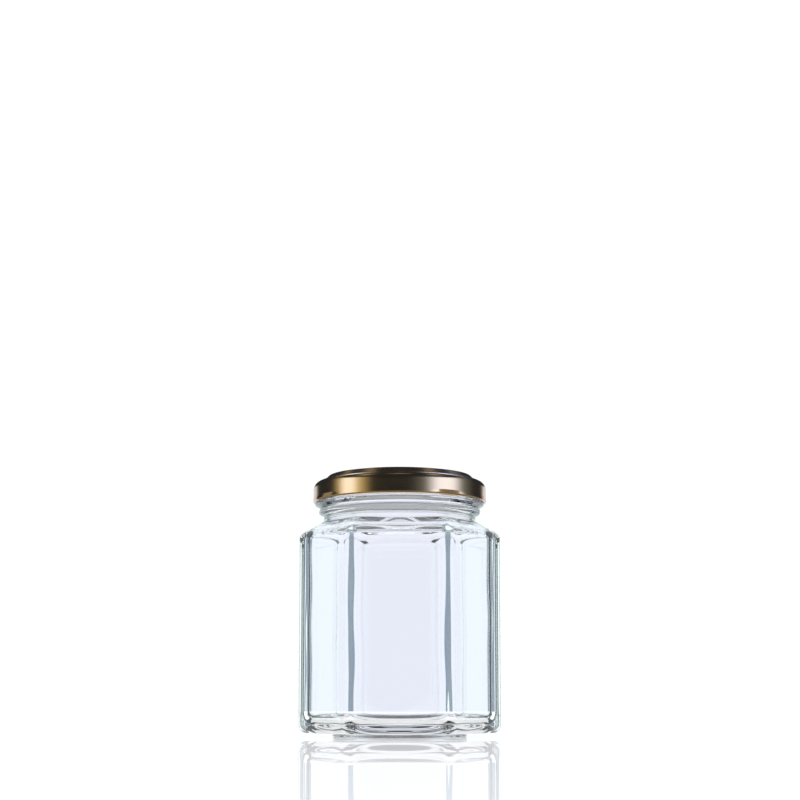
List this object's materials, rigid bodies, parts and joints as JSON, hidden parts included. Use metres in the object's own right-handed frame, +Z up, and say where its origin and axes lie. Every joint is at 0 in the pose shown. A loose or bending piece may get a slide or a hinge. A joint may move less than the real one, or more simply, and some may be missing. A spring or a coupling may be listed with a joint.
{
  "type": "hexagonal glass jar with lid",
  "caption": "Empty clear glass preserving jar with a hexagonal body, a round beaded neck and a gold metal twist-off lid resting on it.",
  "frame": {"origin": "centre of the foot ring, on the surface the jar stands on", "axes": "+Z up along the jar's axis; -Y is the front pane; two of the six upright edges lie on the X axis"},
  "size_m": [0.0712, 0.0628, 0.092],
  "materials": {
    "glass": "clear, smooth, glossy flint glass",
    "gold_lacquer": "glossy gold lacquer over tinplate"
  },
  "bodies": {
    "root": {"jar": "glass", "lid": "gold_lacquer"}
  },
  "joints": []
}
